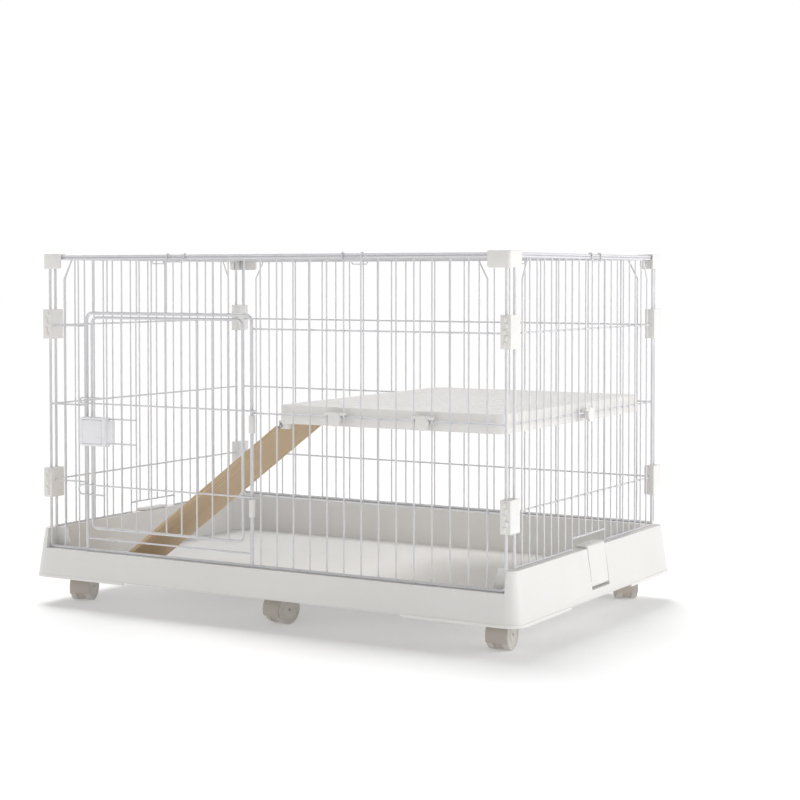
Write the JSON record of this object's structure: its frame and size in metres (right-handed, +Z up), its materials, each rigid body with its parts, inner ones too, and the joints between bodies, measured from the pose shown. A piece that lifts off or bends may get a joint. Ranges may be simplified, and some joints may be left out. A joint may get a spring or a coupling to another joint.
{
  "type": "rabbit cage",
  "caption": "Rectangular wire rabbit cage on a deep plastic tray with swivel casters, hinged front door with sliding latch, inner shelf and wooden ramp.",
  "frame": {"origin": "on the floor, below the middle of the tray", "axes": "+X to the right seen from the door side, +Y to the back, +Z up"},
  "size_m": [0.987, 0.638, 0.634],
  "materials": {
    "tray_plastic": "satin",
    "shelf_plastic": "satin",
    "fitting_plastic": "satin",
    "wire": "satin",
    "wood": "matte",
    "caster_plastic": "matte",
    "steel": "satin"
  },
  "bodies": {
    "cage": {"base_tray": "tray_plastic", "side_latch_pin_left": "steel", "side_latch_pin_right": "steel", "front_panel_frame": "wire", "front_panel_mesh": "wire", "back_panel": "wire", "left_panel": "wire", "right_panel": "wire", "roof_panel": "wire", "corner_cap_front_left": "fitting_plastic", "corner_cap_front_right": "fitting_plastic", "corner_cap_back_left": "fitting_plastic", "corner_cap_back_right": "fitting_plastic", "panel_buckles_inner": "fitting_plastic", "panel_buckles_outer": "fitting_plastic", "hinge_sleeves": "fitting_plastic", "shelf": "shelf_plastic", "shelf_clips": "fitting_plastic", "ramp_pin": "steel", "caster_stems": "steel"},
    "door": {"door_frame": "wire", "door_mesh": "wire"},
    "latch": {"latch_body": "fitting_plastic"},
    "button": {"latch_button": "fitting_plastic"},
    "ramp": {"ramp_board": "wood"},
    "flap_left": {"side_latch_left": "fitting_plastic"},
    "flap_right": {"side_latch_right": "fitting_plastic"},
    "hook_front_left": {"roof_hook_front_left": "wire"},
    "hook_front_right": {"roof_hook_front_right": "wire"},
    "hook_back_left": {"roof_hook_back_left": "wire"},
    "hook_back_right": {"roof_hook_back_right": "wire"},
    "hook_left": {"roof_hook_left": "wire"},
    "hook_right": {"roof_hook_right": "wire"},
    "caster_front_left": {"caster_hood_front_left": "caster_plastic", "caster_axle_front_left": "steel"},
    "wheel_front_left_left": {"wheel_front_left_left": "caster_plastic"},
    "wheel_front_left_right": {"wheel_front_left_right": "caster_plastic"},
    "caster_front_middle": {"caster_hood_front_middle": "caster_plastic", "caster_axle_front_middle": "steel"},
    "wheel_front_middle_left": {"wheel_front_middle_left": "caster_plastic"},
    "wheel_front_middle_right": {"wheel_front_middle_right": "caster_plastic"},
    "caster_front_right": {"caster_hood_front_right": "caster_plastic", "caster_axle_front_right": "steel"},
    "wheel_front_right_left": {"wheel_front_right_left": "caster_plastic"},
    "wheel_front_right_right": {"wheel_front_right_right": "caster_plastic"},
    "caster_back_left": {"caster_hood_back_left": "caster_plastic", "caster_axle_back_left": "steel"},
    "wheel_back_left_left": {"wheel_back_left_left": "caster_plastic"},
    "wheel_back_left_right": {"wheel_back_left_right": "caster_plastic"},
    "caster_back_middle": {"caster_hood_back_middle": "caster_plastic", "caster_axle_back_middle": "steel"},
    "wheel_back_middle_left": {"wheel_back_middle_left": "caster_plastic"},
    "wheel_back_middle_right": {"wheel_back_middle_right": "caster_plastic"},
    "caster_back_right": {"caster_hood_back_right": "caster_plastic", "caster_axle_back_right": "steel"},
    "wheel_back_right_left": {"wheel_back_right_left": "caster_plastic"},
    "wheel_back_right_right": {"wheel_back_right_right": "caster_plastic"}
  },
  "joints": [
    {"name": "door_swing", "type": "hinge", "parent": "cage", "child": "door", "pos_m": [-0.018, -0.3, 0.33], "axis": [0, 0, 1], "range_deg": [0, 150]},
    {"name": "latch_slide", "type": "slide", "parent": "door", "child": "latch", "axis": [1, 0, 0], "range_m": [-0.01, 0]},
    {"name": "button_press", "type": "slide", "parent": "latch", "child": "button", "axis": [0, 1, 0], "range_m": [0, 0.0025], "stiffness_N_per_m": 300},
    {"name": "ramp_lift", "type": "hinge", "parent": "cage", "child": "ramp", "pos_m": [0.02, -0.204, 0.341], "axis": [0, 1, 0], "range_deg": [0, 36]},
    {"name": "flap_left_swing", "type": "hinge", "parent": "cage", "child": "flap_left", "pos_m": [-0.484, 0, 0.078], "axis": [0, -1, 0], "range_deg": [0, 60]},
    {"name": "flap_right_swing", "type": "hinge", "parent": "cage", "child": "flap_right", "pos_m": [0.484, 0, 0.078], "axis": [0, 1, 0], "range_deg": [0, 60]},
    {"name": "hook_front_left_swing", "type": "hinge", "parent": "cage", "child": "hook_front_left", "pos_m": [-0.176, -0.3, 0.6293], "axis": [-1, 0, 0], "range_deg": [0, 50]},
    {"name": "hook_front_right_swing", "type": "hinge", "parent": "cage", "child": "hook_front_right", "pos_m": [0.182, -0.3, 0.6293], "axis": [-1, 0, 0], "range_deg": [0, 50]},
    {"name": "hook_back_left_swing", "type": "hinge", "parent": "cage", "child": "hook_back_left", "pos_m": [-0.176, 0.3, 0.6293], "axis": [1, 0, 0], "range_deg": [0, 50]},
    {"name": "hook_back_right_swing", "type": "hinge", "parent": "cage", "child": "hook_back_right", "pos_m": [0.182, 0.3, 0.6293], "axis": [1, 0, 0], "range_deg": [0, 50]},
    {"name": "hook_left_swing", "type": "hinge", "parent": "cage", "child": "hook_left", "pos_m": [-0.4665, 0.023, 0.6293], "axis": [0, 1, 0], "range_deg": [0, 50]},
    {"name": "hook_right_swing", "type": "hinge", "parent": "cage", "child": "hook_right", "pos_m": [0.4665, 0.023, 0.6293], "axis": [0, -1, 0], "range_deg": [0, 50]},
    {"name": "caster_front_left_swivel", "type": "hinge", "parent": "cage", "child": "caster_front_left", "pos_m": [-0.428, -0.258, 0.05], "axis": [0, 0, 1], "continuous": true},
    {"name": "wheel_front_left_left_roll", "type": "hinge", "parent": "caster_front_left", "child": "wheel_front_left_left", "pos_m": [-0.43347, -0.24296, 0.025], "axis": [0.9397, 0.342, 0], "continuous": true},
    {"name": "wheel_front_left_right_roll", "type": "hinge", "parent": "caster_front_left", "child": "wheel_front_left_right", "pos_m": [-0.43347, -0.24296, 0.025], "axis": [0.9397, 0.342, 0], "continuous": true},
    {"name": "caster_front_middle_swivel", "type": "hinge", "parent": "cage", "child": "caster_front_middle", "pos_m": [0, -0.258, 0.05], "axis": [0, 0, 1], "continuous": true},
    {"name": "wheel_front_middle_left_roll", "type": "hinge", "parent": "caster_front_middle", "child": "wheel_front_middle_left", "pos_m": [0.00333, -0.24235, 0.025], "axis": [0.9781, -0.2079, 0], "continuous": true},
    {"name": "wheel_front_middle_right_roll", "type": "hinge", "parent": "caster_front_middle", "child": "wheel_front_middle_right", "pos_m": [0.00333, -0.24235, 0.025], "axis": [0.9781, -0.2079, 0], "continuous": true},
    {"name": "caster_front_right_swivel", "type": "hinge", "parent": "cage", "child": "caster_front_right", "pos_m": [0.428, -0.258, 0.05], "axis": [0, 0, 1], "continuous": true},
    {"name": "wheel_front_right_left_roll", "type": "hinge", "parent": "caster_front_right", "child": "wheel_front_right_left", "pos_m": [0.42633, -0.24209, 0.025], "axis": [0.9945, 0.1045, 0], "continuous": true},
    {"name": "wheel_front_right_right_roll", "type": "hinge", "parent": "caster_front_right", "child": "wheel_front_right_right", "pos_m": [0.42633, -0.24209, 0.025], "axis": [0.9945, 0.1045, 0], "continuous": true},
    {"name": "caster_back_left_swivel", "type": "hinge", "parent": "cage", "child": "caster_back_left", "pos_m": [-0.428, 0.258, 0.05], "axis": [0, 0, 1], "continuous": true},
    {"name": "wheel_back_left_left_roll", "type": "hinge", "parent": "caster_back_left", "child": "wheel_back_left_left", "pos_m": [-0.42253, 0.24296, 0.025], "axis": [-0.9397, -0.342, 0], "continuous": true},
    {"name": "wheel_back_left_right_roll", "type": "hinge", "parent": "caster_back_left", "child": "wheel_back_left_right", "pos_m": [-0.42253, 0.24296, 0.025], "axis": [-0.9397, -0.342, 0], "continuous": true},
    {"name": "caster_back_middle_swivel", "type": "hinge", "parent": "cage", "child": "caster_back_middle", "pos_m": [0, 0.258, 0.05], "axis": [0, 0, 1], "continuous": true},
    {"name": "wheel_back_middle_left_roll", "type": "hinge", "parent": "caster_back_middle", "child": "wheel_back_middle_left", "pos_m": [-0.00278, 0.24224, 0.025], "axis": [-0.9848, 0.1736, 0], "continuous": true},
    {"name": "wheel_back_middle_right_roll", "type": "hinge", "parent": "caster_back_middle", "child": "wheel_back_middle_right", "pos_m": [-0.00278, 0.24224, 0.025], "axis": [-0.9848, 0.1736, 0], "continuous": true},
    {"name": "caster_back_right_swivel", "type": "hinge", "parent": "cage", "child": "caster_back_right", "pos_m": [0.428, 0.258, 0.05], "axis": [0, 0, 1], "continuous": true},
    {"name": "wheel_back_right_left_roll", "type": "hinge", "parent": "caster_back_right", "child": "wheel_back_right_left", "pos_m": [0.41882, 0.27111, 0.025], "axis": [0.8192, 0.5736, 0], "continuous": true},
    {"name": "wheel_back_right_right_roll", "type": "hinge", "parent": "caster_back_right", "child": "wheel_back_right_right", "pos_m": [0.41882, 0.27111, 0.025], "axis": [0.8192, 0.5736, 0], "continuous": true}
  ]
}
